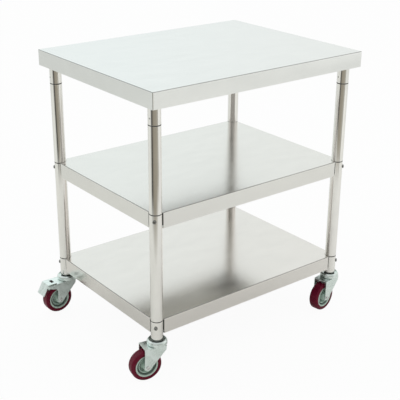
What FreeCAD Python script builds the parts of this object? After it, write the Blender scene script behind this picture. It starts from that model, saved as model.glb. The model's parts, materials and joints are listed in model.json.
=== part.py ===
import FreeCAD, Part
import math
import os
import Sketcher

# Three tier stainless steel utility cart on four swivel casters, in millimetres.
# The origin is on the floor, midway between the four legs. X runs along the long side, Y along
# the short side and Z points up. The front is the long side at negative Y, the left is at negative X.

SIZES = (
    # the folded top, which overhangs the legs
    ("table_length", 814),
    ("table_depth", 628),
    ("table_height", 918),
    ("top_sheet", 1.2),
    ("top_skirt", 50),
    ("hem", 10),
    ("fold_radius", 2),
    # the two folded shelves, which stand in from the top and are notched round the legs
    ("overhang_ends", 24),
    ("overhang_front", 31.5),
    ("shelf_sheet", 1),
    ("shelf_skirt", 50),
    ("middle_height", 546),
    ("bottom_height", 196),
    ("notch_gap", 0.8),
    ("skirt_relief", 1.5),
    # the hat channel under each sheet
    ("channel_width", 60),
    ("channel_drop", 22),
    ("channel_flange", 18),
    ("channel_sheet", 1.2),
    ("channel_end_gap", 4),
    # the legs: round tube in lengths that butt at the shelves
    ("tube_diameter", 38),
    ("tube_wall", 1.2),
    ("leg_inset", 10.5),
    ("joint_drop", 104.5),
    ("foot_height", 130),
    ("joint_bevel", 0.6),
    ("socket_plate", 64),
    ("socket_plate_sheet", 3),
    # the plugs that join the lengths from inside
    ("plug_gap", 0.1),
    ("plug_below", 15),
    ("plug_above", 27),
    ("ring_stand", 0.5),
    # the bolts that pull each shelf corner against its leg
    ("bolt_drop", 21),
    ("bolt_diameter", 6),
    ("bolt_gap", 0.2),
    ("bolt_head", 12),
    ("bolt_head_rise", 4.5),
    ("bolt_head_flat", 7),
    ("bolt_spare", 2),
    ("saddle_sheet", 2),
    ("saddle_gap", 0.1),
    ("saddle_reach", 44),
    ("saddle_height", 40),
    ("nut_width", 10),
    ("nut_rise", 6),
    # the casters
    ("wheel_diameter", 100),
    ("tread_width", 34),
    ("tyre_depth", 13),
    ("shoulder", 4),
    ("rim_width", 31),
    ("rim_depth", 4),
    ("web_width", 12),
    ("boss_diameter", 26),
    ("wheel_side_gap", 0.5),
    ("trail", 41),
    ("fork_height", 113.5),
    ("fork_sheet", 2.5),
    ("fork_inner_width", 46),
    ("fork_rear", 50),
    ("fork_front", 22),
    ("fork_brow", 20),
    ("fork_brow_drop", 14),
    ("fork_tip_radius", 11),
    ("fork_tip_angle", 219),
    ("crown_diameter", 54),
    ("race_rise", 3.5),
    ("kingpin_diameter", 18),
    ("kingpin_foot", 26),
    ("kingpin_foot_rise", 3),
    ("running_gap", 0.3),
    ("pin_fit", 0.05),
    ("axle_diameter", 8),
    ("axle_head", 13),
    ("axle_head_rise", 4),
    ("head_diameter", 63),
    ("head_lip", 2.7),
    ("head_taper", 6),
    ("head_rim_diameter", 55),
    ("dish_depth", 4),
    ("dish_wall", 2),
    ("stem_diameter", 12),
    ("stem_spare", 4),
    ("expander_length", 32),
    ("expander_gap", 0.3),
    # the total lock brake on the two back casters
    ("ear_reach", 84),
    ("ear_bevel", 6),
    ("ear_drop", 12),
    ("pedal_sheet", 2),
    ("pedal_width", 43),
    ("pedal_start", 51),
    ("pedal_knee", 84),
    ("pedal_end", 104.5),
    ("pedal_fall", 36.5),
    ("pedal_lift", 1),
    ("pedal_skirt", 12),
    ("skirt_start", 58),
    ("skirt_end", 82),
    ("skirt_bevel", 5),
    ("pedal_pin", 6),
    ("pedal_pin_back", 70),
    ("pedal_pin_drop", 7.5),
    ("window_start", 54.5),
    ("window_length", 11),
    ("window_width", 20),
    ("shoe_gap", 3.4),
    ("shoe_sheet", 3),
    ("shoe_width", 22),
    ("shoe_low_angle", 50),
    ("shoe_high_angle", 62),
)

# corner name, side along X, side along Y, turn of the corner about Z in degrees
CORNERS = (
    ("front_left", -1, -1, 0),
    ("front_right", 1, -1, 90),
    ("back_right", 1, 1, 180),
    ("back_left", -1, 1, 270),
)
# how far round from the X axis each wheel trails, in degrees
SWINGS = {"front_left": 168, "front_right": 189, "back_right": 174, "back_left": 180}
# a leg length is turned so that its X axis points along the diagonal of its corner, and a bolt
# so that its X axis points out of it
DIAGONAL_TURN = 45
OUTWARD_TURN = DIAGONAL_TURN + 180
BRAKED = ("back_right", "back_left")

os.makedirs("parts", exist_ok=True)
doc = FreeCAD.newDocument("utility_cart")
sheet = doc.addObject("Spreadsheet::Sheet", "sizes")


class Dim:
    """A size with its value now and the expression on the sheet that keeps it true."""

    def __init__(self, value, text):
        self.value = float(value)
        self.text = text

    def joined(self, sign, other, value):
        return Dim(value, f"({self.text} {sign} {other.text})")

    def __add__(self, other):
        other = dim(other)
        return self.joined("+", other, self.value + other.value)

    def __sub__(self, other):
        other = dim(other)
        return self.joined("-", other, self.value - other.value)

    def __mul__(self, other):
        other = dim(other)
        return self.joined("*", other, self.value * other.value)

    def __truediv__(self, other):
        other = dim(other)
        return self.joined("/", other, self.value / other.value)

    def __radd__(self, other):
        return dim(other) + self

    def __rsub__(self, other):
        return dim(other) - self

    def __rmul__(self, other):
        return dim(other) * self

    def __neg__(self):
        return Dim(-self.value, f"(0 - {self.text})")


def dim(thing):
    if isinstance(thing, Dim):
        return thing
    return Dim(thing, f"({float(thing)})")


def root_of(size):
    return Dim(math.sqrt(size.value), f"sqrt({size.text})")


def cos_of(degrees):
    return Dim(math.cos(math.radians(degrees.value)), f"cos({degrees.text})")


def sin_of(degrees):
    return Dim(math.sin(math.radians(degrees.value)), f"sin({degrees.text})")


def fill_sheet():
    sizes = {}
    for row, (name, value) in enumerate(SIZES, start=1):
        sheet.set(f"A{row}", name)
        sheet.set(f"B{row}", str(value))
        sheet.setAlias(f"B{row}", name)
        sizes[name] = Dim(value, f"sizes.{name}")
    doc.recompute()
    return sizes


S = fill_sheet()

# Sizes that several parts share
shelf_length = S["table_length"] - 2 * S["overhang_ends"]
shelf_depth = S["table_depth"] - 2 * S["overhang_front"]
tube_radius = S["tube_diameter"] / 2
tube_bore = tube_radius - S["tube_wall"]
leg_x = shelf_length / 2 - S["leg_inset"]
leg_y = shelf_depth / 2 - S["leg_inset"]
joint_height = S["table_height"] - S["joint_drop"]
bolt_hole = S["bolt_diameter"] / 2 + S["bolt_gap"]
saddle_inner = tube_radius + S["saddle_gap"]
saddle_outer = saddle_inner + S["saddle_sheet"]
wheel_radius = S["wheel_diameter"] / 2
hub_radius = wheel_radius - S["tyre_depth"]
fork_half = S["fork_inner_width"] / 2 + S["fork_sheet"]
fork_under = S["fork_height"] - S["fork_sheet"]
head_under = S["fork_height"] + S["race_rise"] + S["running_gap"]
dish_floor = S["foot_height"] - S["dish_depth"]
pedal_pin_height = S["fork_height"] - S["pedal_pin_drop"]
pedal_under = S["fork_height"] + S["pedal_lift"]

PLANE_ROLES = {"XY": "XY_Plane", "XZ": "XZ_Plane", "YZ": "YZ_Plane"}


def bind(item, path, size):
    item.setExpression(path, dim(size).text)


def place(item, x=0, y=0, z=0, turn=0):
    """Put a sub-part at x, y, z and turn it about its own upright axis, by degrees."""
    x, y, z, turn = dim(x), dim(y), dim(z), dim(turn)
    spin = FreeCAD.Rotation(FreeCAD.Vector(0, 0, 1), turn.value)
    item.Placement = FreeCAD.Placement(FreeCAD.Vector(x.value, y.value, z.value), spin)
    bind(item, ".Placement.Base.x", x)
    bind(item, ".Placement.Base.y", y)
    bind(item, ".Placement.Base.z", z)
    bind(item, ".Placement.Rotation.Angle", turn)


def new_body(label):
    body = doc.addObject("PartDesign::Body", label)
    body.Label = label
    return body


def sketch_on(body, plane, lift=0, turn=0):
    """A sketch on one of the body's own planes, moved along that plane's normal. An upright
    sketch may also be turned about the upright axis, by degrees."""
    item = body.newObject("Sketcher::SketchObject", "outline")
    face = [f for f in body.Origin.OriginFeatures if f.Role == PLANE_ROLES[plane]][0]
    item.AttachmentSupport = [(face, "")]
    item.MapMode = "FlatFace"
    spin = FreeCAD.Rotation(FreeCAD.Vector(0, 1, 0), dim(turn).value)
    item.AttachmentOffset = FreeCAD.Placement(FreeCAD.Vector(0, 0, dim(lift).value), spin)
    bind(item, ".AttachmentOffset.Base.z", lift)
    bind(item, ".AttachmentOffset.Rotation.Angle", turn)
    return item


def pin_point(item, geo, pos, x, y):
    """Hold one point of a sketch at x, y from its origin."""
    for kind, size in (("DistanceX", x), ("DistanceY", y)):
        index = item.addConstraint(Sketcher.Constraint(kind, -1, 1, geo, pos, dim(size).value))
        bind(item, f"Constraints[{index}]", size)


def circle(item, x, y, radius):
    x, y = dim(x), dim(y)
    centre = FreeCAD.Vector(x.value, y.value, 0)
    geo = item.addGeometry(Part.Circle(centre, FreeCAD.Vector(0, 0, 1), radius.value))
    pin_point(item, geo, 3, x, y)
    index = item.addConstraint(Sketcher.Constraint("Radius", geo, radius.value))
    bind(item, f"Constraints[{index}]", radius)


def arc_between(start, end, radius, left):
    """The short arc from start to end whose centre is on the left or the right of the way."""
    across = end - start
    middle = (start + end) * 0.5
    rise = math.sqrt(max(radius**2 - (across.Length / 2) ** 2, 0))
    side = FreeCAD.Vector(-across.y, across.x, 0).normalize() * (rise if left else -rise)
    centre = middle + side
    first, last = (start, end) if left else (end, start)
    angles = [math.atan2(p.y - centre.y, p.x - centre.x) for p in (first, last)]
    return Part.ArcOfCircle(Part.Circle(centre, FreeCAD.Vector(0, 0, 1), radius), *angles)


def outline(item, *corners):
    """A closed outline. A corner is (x, y), reached by a straight side, or (x, y, radius, left),
    reached by an arc of that radius with its centre on the left of the way or not."""
    points = [FreeCAD.Vector(dim(c[0]).value, dim(c[1]).value, 0) for c in corners]
    ends = []
    for index, corner in enumerate(corners):
        start, end = points[index - 1], points[index]
        if len(corner) == 2:
            geo = item.addGeometry(Part.LineSegment(start, end))
            ends.append((geo, 1, 2))
        else:
            radius, left = dim(corner[2]), corner[3]
            geo = item.addGeometry(arc_between(start, end, radius.value, left))
            ends.append((geo, 1, 2) if left else (geo, 2, 1))
            number = item.addConstraint(Sketcher.Constraint("Radius", geo, radius.value))
            bind(item, f"Constraints[{number}]", radius)
    for index, corner in enumerate(corners):
        here, after = ends[index], ends[(index + 1) % len(ends)]
        item.addConstraint(Sketcher.Constraint("Coincident", here[0], here[2], after[0], after[1]))
        pin_point(item, here[0], here[2], corner[0], corner[1])


def rectangle(item, x_low, x_high, y_low, y_high):
    outline(item, (x_low, y_low), (x_high, y_low), (x_high, y_high), (x_low, y_high))


def centred(item, length, depth):
    rectangle(item, -length / 2, length / 2, -depth / 2, depth / 2)


def add(body, item, length, symmetric=False, reverse=False):
    """Pad a sketch, and return the feature."""
    feature = body.newObject("PartDesign::Pad", "pad")
    feature.Profile = item
    feature.SideType = "Symmetric" if symmetric else "One side"
    feature.Reversed = reverse
    bind(feature, "Length", length)
    doc.recompute()
    return feature


def cut(body, item, length, symmetric=False, reverse=False):
    """Pocket a sketch, and make sure that it took something away."""
    before = body.Shape.Volume
    feature = body.newObject("PartDesign::Pocket", "pocket")
    feature.Profile = item
    feature.SideType = "Symmetric" if symmetric else "One side"
    feature.Reversed = reverse
    bind(feature, "Length", length)
    doc.recompute()
    if not body.Shape.Volume < before:
        raise RuntimeError(f"a pocket of {body.Label} cuts nothing")
    return feature


def turn_about(body, item, axis):
    feature = body.newObject("PartDesign::Revolution", "turned")
    feature.Profile = item
    feature.ReferenceAxis = (item, [axis])
    feature.Angle = 360
    doc.recompute()
    return feature


def soften(body, base, kind, size, wanted):
    """Fillet or bevel the edges of a feature that the test wanted picks by their box."""
    names = [f"Edge{i}" for i, e in enumerate(base.Shape.Edges, start=1) if wanted(e.BoundBox)]
    if not names:
        raise RuntimeError(f"no edge of {body.Label} to soften")
    feature = body.newObject(kind, "softened")
    feature.Base = (base, names)
    bind(feature, "Radius" if kind.endswith("Fillet") else "Size", size)
    doc.recompute()
    return feature


def group(label, seed, places):
    """One node of separate solids: a copy of the seed at each place."""
    links = []
    for at in places:
        link = doc.addObject("App::Link", f"{label}_copy")
        link.LinkedObject = seed
        place(link, *at)
        links.append(link)
    whole = doc.addObject("Part::Compound", label)
    whole.Label = label
    whole.Links = links
    doc.recompute()
    return whole


def corner_places(height, extra_turn=0):
    """The same place at all four legs, at one height."""
    return [(x * leg_x, y * leg_y, height, turn + extra_turn) for _, x, y, turn in CORNERS]


# The three folded sheets


def folded_pan(label, length, depth, sheet_size, skirt):
    """A sheet with its four sides turned down and their ends turned in as a hem."""
    body = new_body(label)
    blank = sketch_on(body, "XY")
    centred(blank, length, depth)
    block = add(body, blank, skirt, reverse=True)
    low = -skirt.value
    soften(body, block, "PartDesign::Fillet", S["fold_radius"], lambda b: b.ZMax > low + 0.01)
    cavity = sketch_on(body, "XY", sheet_size - skirt)
    centred(cavity, length - 2 * sheet_size, depth - 2 * sheet_size)
    cut(body, cavity, skirt - 2 * sheet_size, reverse=True)
    mouth = sketch_on(body, "XY", sheet_size - skirt)
    lip = sheet_size + S["hem"]
    centred(mouth, length - 2 * lip, depth - 2 * lip)
    cut(body, mouth, sheet_size)
    return body


def table_top():
    body = folded_pan("top_shelf", S["table_length"], S["table_depth"], S["top_sheet"], S["top_skirt"])
    place(body, 0, 0, S["table_height"])
    return body


def notched_shelf(label, height):
    """A folded shelf. The sheet is cut close round each leg, and the skirts stop a little short."""
    body = folded_pan(label, shelf_length, shelf_depth, S["shelf_sheet"], S["shelf_skirt"])
    notch = sketch_on(body, "XY")
    relief = sketch_on(body, "XY", -S["fold_radius"])
    reach = tube_radius + S["skirt_relief"]
    for _, x, y, _ in CORNERS:
        circle(notch, x * leg_x, y * leg_y, tube_radius + S["notch_gap"])
        inner = (x * (leg_x - reach), y * (leg_y - reach))
        outer = (x * (leg_x + reach), y * (leg_y + reach))
        outline(relief, inner, (outer[0], inner[1]), outer, (inner[0], outer[1]))
    cut(body, notch, S["shelf_skirt"])
    cut(body, relief, S["shelf_skirt"])
    place(body, 0, 0, height)
    return body


def hat_channel(label, under, pan_length, pan_sheet):
    """The stiffener welded under a sheet: a hat section that runs the length of the pan."""
    body = new_body(label)
    profile = sketch_on(body, "YZ")
    half, drop, wall = S["channel_width"] / 2, S["channel_drop"], S["channel_sheet"]
    wide = half + S["channel_flange"]
    outline(
        profile,
        (-wide, 0),
        (-wide, -wall),
        (-half, -wall),
        (-half, -drop),
        (half, -drop),
        (half, -wall),
        (wide, -wall),
        (wide, 0),
        (half - wall, 0),
        (half - wall, wall - drop),
        (wall - half, wall - drop),
        (wall - half, 0),
    )
    add(body, profile, pan_length - 2 * (pan_sheet + S["channel_end_gap"]), symmetric=True)
    place(body, 0, 0, under - pan_sheet)
    return body


# The legs and their joints


def tube(body, lift, length, outer, inner):
    ring = sketch_on(body, "XY", lift)
    circle(ring, 0, 0, outer)
    circle(ring, 0, 0, inner)
    return add(body, ring, length)


def cross_hole(body, height, radius, turn=0):
    """A round hole right through, along the body's X axis or turned from it."""
    hole = sketch_on(body, "YZ", 0, turn)
    circle(hole, 0, height, radius)
    return cut(body, hole, 4 * S["tube_diameter"], symmetric=True)


def leg_lengths(label, low, high, bolted):
    """The four lengths of leg tube between two joints. The upper end is eased and stops under the
    ring of the joint's plug, and a shelf bolt passes below it. X points out of the corner."""
    seed = new_body(label + "_pattern")
    length = high - S["shelf_sheet"] - low
    wall = tube(seed, 0, length, tube_radius, tube_bore)
    top, rim = length.value - 0.01, 2 * tube_radius.value - 0.01
    soften(seed, wall, "PartDesign::Chamfer", S["joint_bevel"], lambda b: b.ZMin > top and b.XLength > rim)
    if bolted:
        cross_hole(seed, high - low - S["bolt_drop"], bolt_hole)
    return group(label, seed, corner_places(low, DIAGONAL_TURN))


def leg_sockets():
    """The stubs that are welded under the top, each on its square plate."""
    seed = new_body("leg_socket_pattern")
    length = S["joint_drop"] - S["top_sheet"] - S["socket_plate_sheet"]
    tube(seed, 0, length, tube_radius, tube_bore)
    plate = sketch_on(seed, "XY", length)
    centred(plate, S["socket_plate"], S["socket_plate"])
    add(seed, plate, S["socket_plate_sheet"])
    return group("leg_sockets", seed, corner_places(joint_height))


def joint_plugs():
    """The moulded plugs inside the joints. The leg lengths push over them from both ends, as far
    as a ring that is as thick as a shelf's sheet and shows as a dark line round the leg."""
    seed = new_body("joint_plug_pattern")
    round_bar = sketch_on(seed, "XY", -S["plug_below"])
    circle(round_bar, 0, 0, tube_bore - S["plug_gap"])
    add(seed, round_bar, S["plug_below"] + S["plug_above"])
    ring = sketch_on(seed, "XY", -S["shelf_sheet"])
    circle(ring, 0, 0, tube_radius + S["ring_stand"])
    add(seed, ring, S["shelf_sheet"])
    heights = (joint_height, S["middle_height"], S["bottom_height"])
    return group("joint_plugs", seed, [at for height in heights for at in corner_places(height)])


def corner_saddles():
    """The pressed brackets in the corners of the shelves. Each hugs its leg and its wings lie on
    the skirts, so the bolt through the leg pulls the shelf tight."""
    seed = new_body("corner_saddle_pattern")
    profile = sketch_on(seed, "XY")
    near = S["shelf_sheet"] - S["leg_inset"]
    far = near + S["saddle_sheet"]
    inner_end = root_of(saddle_inner * saddle_inner - near * near)
    outer_end = root_of(saddle_outer * saddle_outer - far * far)
    outline(
        profile,
        (inner_end, near, saddle_inner, False),
        (S["saddle_reach"], near),
        (S["saddle_reach"], far),
        (outer_end, far),
        (far, outer_end, saddle_outer, True),
        (far, S["saddle_reach"]),
        (near, S["saddle_reach"]),
        (near, inner_end),
    )
    add(seed, profile, S["saddle_height"], reverse=True)
    cross_hole(seed, S["shelf_sheet"] - S["bolt_drop"], bolt_hole, DIAGONAL_TURN)
    heights = (S["middle_height"], S["bottom_height"])
    places = [at for height in heights for at in corner_places(height - S["shelf_sheet"])]
    return group("corner_saddles", seed, places)


def hexagon(item, width):
    """A regular hexagon of that width across its flats, with a corner on the sketch's X axis."""
    reach = width / math.sqrt(3)
    turns = [math.radians(60 * side) for side in range(6)]
    outline(item, *((reach * math.cos(turn), reach * math.sin(turn)) for turn in turns))


def bolt_places():
    """Where the eight shelf bolts go. A bolt's own X axis points out of its corner."""
    heights = (S["middle_height"], S["bottom_height"])
    return [at for height in heights for at in corner_places(height - S["bolt_drop"], OUTWARD_TURN)]


def shelf_bolts():
    """Button headed bolts through leg and saddle."""
    seed = new_body("shelf_bolt_pattern")
    profile = sketch_on(seed, "XZ")
    end = -(saddle_outer + S["nut_rise"] + S["bolt_spare"])
    top = tube_radius + S["bolt_head_rise"]
    outline(
        profile,
        (end, 0),
        (top, 0),
        (top, S["bolt_head_flat"] / 2),
        (tube_radius, S["bolt_head"] / 2),
        (tube_radius, S["bolt_diameter"] / 2),
        (end, S["bolt_diameter"] / 2),
    )
    turn_about(seed, profile, "H_Axis")
    return group("shelf_bolts", seed, bolt_places())


def shelf_nuts():
    """The nuts behind the saddles."""
    seed = new_body("shelf_nut_pattern")
    flats = sketch_on(seed, "YZ", -saddle_outer)
    hexagon(flats, S["nut_width"])
    circle(flats, 0, 0, S["bolt_diameter"] / 2 + S["pin_fit"])
    add(seed, flats, S["nut_rise"], reverse=True)
    return group("shelf_nuts", seed, bolt_places())


# The casters. Each is drawn with its swivel axis upright at the origin and its wheel trailing
# along X, then turned to the way its wheel points.


def caster_heads():
    """The fixed upper half of each swivel: the kingpin, a dish with a lip over the ball race, and
    the stem riveted into it."""
    seed = new_body("caster_head_pattern")
    profile = sketch_on(seed, "XZ")
    pin, foot = S["kingpin_diameter"] / 2, S["kingpin_foot"] / 2
    foot_top = fork_under - S["running_gap"]
    foot_low = foot_top - S["kingpin_foot_rise"]
    lip_in = S["crown_diameter"] / 2 + S["running_gap"]
    lip_low = head_under - S["head_lip"]
    edge, rim = S["head_diameter"] / 2, S["head_rim_diameter"] / 2
    well = rim - S["dish_wall"]
    stem = S["stem_diameter"] / 2
    stem_top = S["foot_height"] + S["expander_length"] + S["stem_spare"]
    outline(
        profile,
        (0, foot_low),
        (foot, foot_low),
        (foot, foot_top),
        (pin, foot_top),
        (pin, head_under),
        (lip_in, head_under),
        (lip_in, lip_low),
        (edge, lip_low),
        (edge, S["foot_height"] - S["head_taper"]),
        (rim, S["foot_height"]),
        (well, S["foot_height"]),
        (well, dish_floor),
        (stem, dish_floor),
        (stem, stem_top),
        (0, stem_top),
    )
    turn_about(seed, profile, "V_Axis")
    return group("caster_heads", seed, corner_places(0))


def caster_expanders():
    """The plugs that grip the leg from inside. The leg stands on the plug's collar."""
    seed = new_body("caster_expander_pattern")
    profile = sketch_on(seed, "XZ")
    bore = S["stem_diameter"] / 2 + S["pin_fit"]
    grip = tube_bore - S["expander_gap"]
    collar = tube_radius - S["joint_bevel"]
    top = S["foot_height"] + S["expander_length"]
    outline(
        profile,
        (bore, dish_floor),
        (collar, dish_floor),
        (collar, S["foot_height"]),
        (grip, S["foot_height"]),
        (grip, top),
        (bore, top),
    )
    turn_about(seed, profile, "V_Axis")
    return group("caster_expanders", seed, corner_places(0))


def place_caster(item, corner, back=0, height=0):
    """Put a caster piece under its leg, or behind the swivel axis on the way its wheel trails."""
    name, x, y, _ = corner
    swing = dim(SWINGS[name])
    place(item, x * leg_x + back * cos_of(swing), y * leg_y + back * sin_of(swing), height, swing)


def cheek_outline(item, braked):
    """The side of the fork. On a braked caster an ear reaches back over the wheel."""
    tip_x, tip_z, tip = S["trail"], wheel_radius, S["fork_tip_radius"]
    top, rear = S["fork_height"], S["fork_rear"]
    back_edge = [(rear, top)]
    if braked:
        ear_low = top - S["ear_drop"]
        back_edge = [
            (rear, top),
            (S["ear_reach"], top - S["pedal_lift"]),
            (S["ear_reach"] - S["ear_bevel"], ear_low),
            (rear + S["ear_bevel"], ear_low - S["ear_bevel"]),
            (rear, ear_low - 2 * S["ear_bevel"]),
        ]
    outline(
        item,
        (-S["fork_brow"], top - S["fork_brow_drop"]),
        (-S["fork_front"], top),
        *back_edge,
        (tip_x + tip, tip_z),
        (
            tip_x + tip * cos_of(S["fork_tip_angle"]),
            tip_z + tip * sin_of(S["fork_tip_angle"]),
            tip,
            False,
        ),
    )


def side_block(body, x_low, x_high, z_low, z_high, width):
    """Clear the space between the two sides of a folded part."""
    space = sketch_on(body, "XZ")
    rectangle(space, x_low, x_high, z_low, z_high)
    return cut(body, space, width, symmetric=True)


def side_hole(body, x, z, radius):
    hole = sketch_on(body, "XZ")
    circle(hole, x, z, radius)
    return cut(body, hole, 4 * fork_half, symmetric=True)


def caster_fork(corner):
    """The pressed fork: crown with its ball race, two cheeks, and ears where it has a brake."""
    braked = corner[0] in BRAKED
    body = new_body(corner[0] + "_fork")
    cheeks = sketch_on(body, "XZ")
    cheek_outline(cheeks, braked)
    add(body, cheeks, 2 * fork_half, symmetric=True)
    front, back = -2 * S["fork_front"], 2 * S["ear_reach"]
    side_block(body, front, back, 0, fork_under, S["fork_inner_width"])
    if braked:
        side_block(body, S["fork_rear"], back, 0, S["table_height"], S["fork_inner_width"])
    crown = sketch_on(body, "XY", fork_under)
    circle(crown, 0, 0, S["crown_diameter"] / 2)
    add(body, crown, S["fork_sheet"] + S["race_rise"])
    bore = sketch_on(body, "XY", S["fork_height"] + S["race_rise"])
    circle(bore, 0, 0, S["kingpin_diameter"] / 2 + S["pin_fit"])
    cut(body, bore, 2 * (S["fork_sheet"] + S["race_rise"]))
    side_hole(body, S["trail"], wheel_radius, S["axle_diameter"] / 2 + S["pin_fit"])
    if braked:
        side_hole(body, S["pedal_pin_back"], pedal_pin_height, S["pedal_pin"] / 2 + S["pin_fit"])
    place_caster(body, corner)
    return body


def caster_axle(corner):
    """The axle bolt, nipped up on the fork with its nut."""
    body = new_body(corner[0] + "_axle")
    shank = sketch_on(body, "XZ")
    circle(shank, 0, 0, S["axle_diameter"] / 2)
    add(body, shank, 2 * fork_half + S["axle_head_rise"], symmetric=True)
    head = sketch_on(body, "XZ", fork_half)
    hexagon(head, S["axle_head"])
    add(body, head, S["axle_head_rise"])
    nut = sketch_on(body, "XZ", -fork_half)
    hexagon(nut, S["axle_head"])
    add(body, nut, S["axle_head_rise"], reverse=True)
    place_caster(body, corner, S["trail"], wheel_radius)
    return body


def wheel_hub(corner):
    """The hub: boss, web and rim turned as one."""
    body = new_body(corner[0] + "_wheel_hub")
    profile = sketch_on(body, "XY")
    bore = S["axle_diameter"] / 2 + S["pin_fit"]
    boss, rim = S["boss_diameter"] / 2, hub_radius - S["rim_depth"]
    steps = (
        (bore, S["fork_inner_width"] / 2 - S["wheel_side_gap"]),
        (boss, S["fork_inner_width"] / 2 - S["wheel_side_gap"]),
        (boss, S["web_width"] / 2),
        (rim, S["web_width"] / 2),
        (rim, S["rim_width"] / 2),
        (hub_radius, S["rim_width"] / 2),
    )
    mirrored = [(radius, -half) for radius, half in reversed(steps)]
    outline(profile, *steps, *mirrored)
    turn_about(body, profile, "V_Axis")
    place_caster(body, corner, S["trail"], wheel_radius)
    return body


def wheel_tyre(corner):
    """The moulded tread, wider than the rim and bevelled at its shoulders."""
    body = new_body(corner[0] + "_tyre")
    profile = sketch_on(body, "XY")
    seat = hub_radius + S["pin_fit"]
    half, shoulder = S["tread_width"] / 2, S["shoulder"]
    steps = (
        (seat, half),
        (wheel_radius - shoulder, half),
        (wheel_radius, half - shoulder),
    )
    mirrored = [(radius, -side) for radius, side in reversed(steps)]
    outline(profile, *steps, *mirrored)
    turn_about(body, profile, "V_Axis")
    place_caster(body, corner, S["trail"], wheel_radius)
    return body


def round_wheel(radius, turn):
    """A point at a distance from the axle, as seen from the side of the caster."""
    return S["trail"] + radius * cos_of(turn), wheel_radius + radius * sin_of(turn)


def brake_pedal(corner):
    """The pedal: a bent plate with two skirts, its pivot pin and the shoe under it."""
    body = new_body(corner[0] + "_brake_pedal")
    under, wall = pedal_under, S["pedal_sheet"]
    start, knee, end = S["pedal_start"], S["pedal_knee"], S["pedal_end"]
    plate = sketch_on(body, "XZ")
    outline(
        plate,
        (start, under),
        (knee - wall / 2, under),
        (end - wall, under - S["pedal_fall"]),
        (end, under + wall - S["pedal_fall"]),
        (knee, under + wall),
        (start, under + wall),
    )
    add(body, plate, S["pedal_width"], symmetric=True)
    skirts = sketch_on(body, "XZ")
    low = under - S["pedal_skirt"]
    first, last, slope = S["skirt_start"], S["skirt_end"], S["skirt_bevel"]
    outline(skirts, (first, under), (first + slope, low), (last - slope, low), (last, under))
    add(body, skirts, S["pedal_width"], symmetric=True)
    side_block(body, start, knee, low - wall, under, S["pedal_width"] - 2 * wall)
    pin = sketch_on(body, "XZ")
    circle(pin, S["pedal_pin_back"], pedal_pin_height, S["pedal_pin"] / 2)
    add(body, pin, 2 * (fork_half + wall), symmetric=True)
    shoe = sketch_on(body, "XZ")
    near = wheel_radius + S["shoe_gap"]
    far = near + S["shoe_sheet"]
    low_turn, high_turn = S["shoe_low_angle"], S["shoe_high_angle"]
    quarter = (high_turn - low_turn) / 4
    outline(
        shoe,
        round_wheel(near, high_turn),
        (*round_wheel(near, low_turn), near, False),
        round_wheel(far, low_turn),
        (*round_wheel(far, low_turn + quarter), far, True),
        (S["pedal_pin_back"] + wall, under),
        (S["pedal_pin_back"] - wall, under),
        round_wheel(far, high_turn - quarter),
        (*round_wheel(far, high_turn), far, True),
    )
    add(body, shoe, S["shoe_width"], symmetric=True)
    window = sketch_on(body, "XY", under)
    half = S["window_width"] / 2
    rectangle(window, S["window_start"], S["window_start"] + S["window_length"], -half, half)
    cut(body, window, 2 * wall, reverse=True)
    place_caster(body, corner)
    return body


def build_parts():
    middle, bottom = S["middle_height"], S["bottom_height"]
    parts = [
        table_top(),
        notched_shelf("middle_shelf", middle),
        notched_shelf("bottom_shelf", bottom),
        hat_channel("top_stiffener", S["table_height"], S["table_length"], S["top_sheet"]),
        hat_channel("middle_stiffener", middle, shelf_length, S["shelf_sheet"]),
        hat_channel("bottom_stiffener", bottom, shelf_length, S["shelf_sheet"]),
        leg_sockets(),
        leg_lengths("upper_legs", middle, joint_height, bolted=False),
        leg_lengths("lower_legs", bottom, middle, bolted=True),
        leg_lengths("leg_feet", S["foot_height"], bottom, bolted=True),
        joint_plugs(),
        corner_saddles(),
        shelf_bolts(),
        shelf_nuts(),
        caster_heads(),
        caster_expanders(),
    ]
    for corner in CORNERS:
        parts += [caster_fork(corner), caster_axle(corner), wheel_hub(corner), wheel_tyre(corner)]
        if corner[0] in BRAKED:
            parts.append(brake_pedal(corner))
    return parts


def check_document(parts):
    doc.recompute()
    for item in doc.Objects:
        if any(state in ("Invalid", "Error") for state in item.State):
            raise RuntimeError(f"{item.Label} did not compute")
    for part in parts:
        if part.Shape.isNull() or not part.Shape.isValid():
            raise RuntimeError(f"{part.Label} has no valid shape")


def write_parts(parts):
    for part in parts:
        part.Shape.exportStep(f"parts/{part.Label}.step")


cart = build_parts()
check_document(cart)
write_parts(cart)
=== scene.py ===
import json
import math

import bpy
from bpy.props import FloatProperty, FloatVectorProperty, IntProperty, PointerProperty
from mathutils import Matrix, Vector


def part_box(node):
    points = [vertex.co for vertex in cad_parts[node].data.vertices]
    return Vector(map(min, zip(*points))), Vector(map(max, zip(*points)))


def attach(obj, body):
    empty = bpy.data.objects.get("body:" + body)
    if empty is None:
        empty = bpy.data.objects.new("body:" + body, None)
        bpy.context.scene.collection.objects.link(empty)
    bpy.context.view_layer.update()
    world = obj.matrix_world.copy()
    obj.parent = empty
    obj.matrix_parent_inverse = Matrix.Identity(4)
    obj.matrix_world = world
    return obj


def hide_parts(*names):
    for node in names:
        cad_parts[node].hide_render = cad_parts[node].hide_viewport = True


# The looks of a three tier stainless steel cart on four swivel casters.
# Lengths are in metres, Z points up and the origin is on the floor, midway between the legs.

bl_info = {
    "name": "Steel utility cart",
    "version": (1, 0, 0),
    "blender": (4, 5, 0),
    "location": "View3D > Sidebar > Cart",
    "description": "Dresses the packed cart with finished pieces, materials and a studio",
    "category": "Object",
}

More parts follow.
